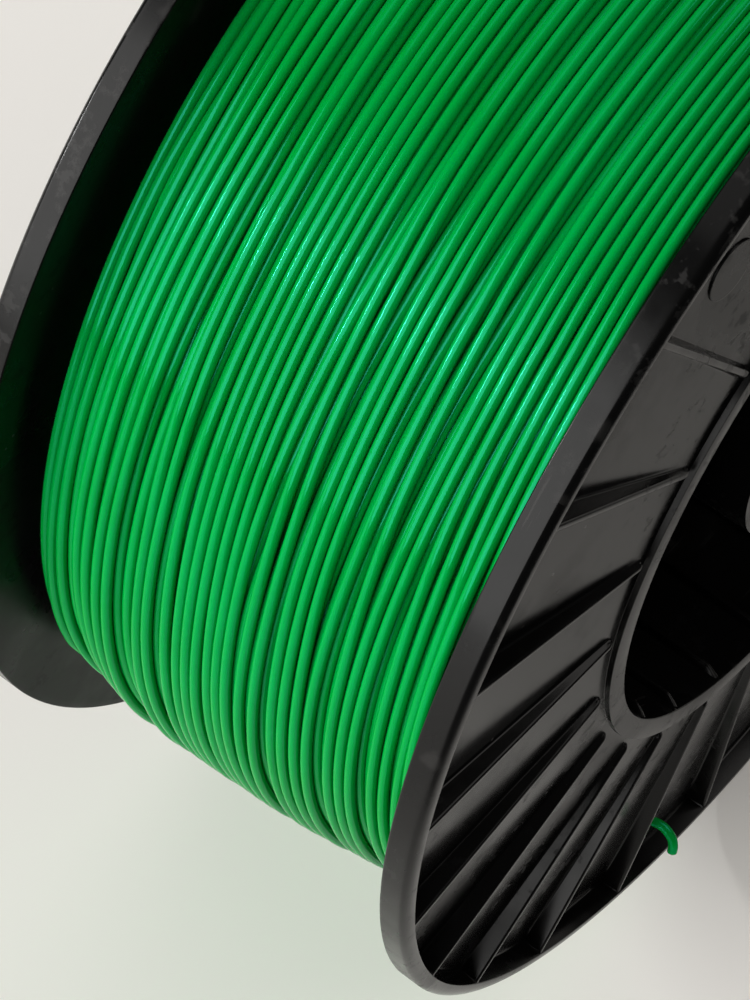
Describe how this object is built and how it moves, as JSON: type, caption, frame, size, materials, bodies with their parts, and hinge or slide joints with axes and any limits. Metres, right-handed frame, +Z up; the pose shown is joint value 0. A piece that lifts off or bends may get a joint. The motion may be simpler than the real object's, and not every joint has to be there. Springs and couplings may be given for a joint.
{
  "type": "filament spool",
  "caption": "Spool for a 3D printer with ribbed flanges and a hollow hub, wound with plastic filament, and a bore for a spindle.",
  "frame": {"origin": "centre of the bore, midway between the flanges", "axes": "+Z up with the spool standing on its rims, axis along Y, near flange towards -Y"},
  "size_m": [0.22, 0.0894, 0.22],
  "materials": {
    "black_plastic": "moulded, semi-gloss, lightly scuffed",
    "green_filament": "extruded, glossy, slightly translucent"
  },
  "bodies": {
    "root": {"near_flange": "black_plastic", "far_flange": "black_plastic", "barrel": "black_plastic", "arbor_tube": "black_plastic", "near_hub_plate": "black_plastic", "far_hub_plate": "black_plastic", "inner_winding": "green_filament", "outer_winding": "green_filament", "filament_end": "green_filament"}
  },
  "joints": []
}
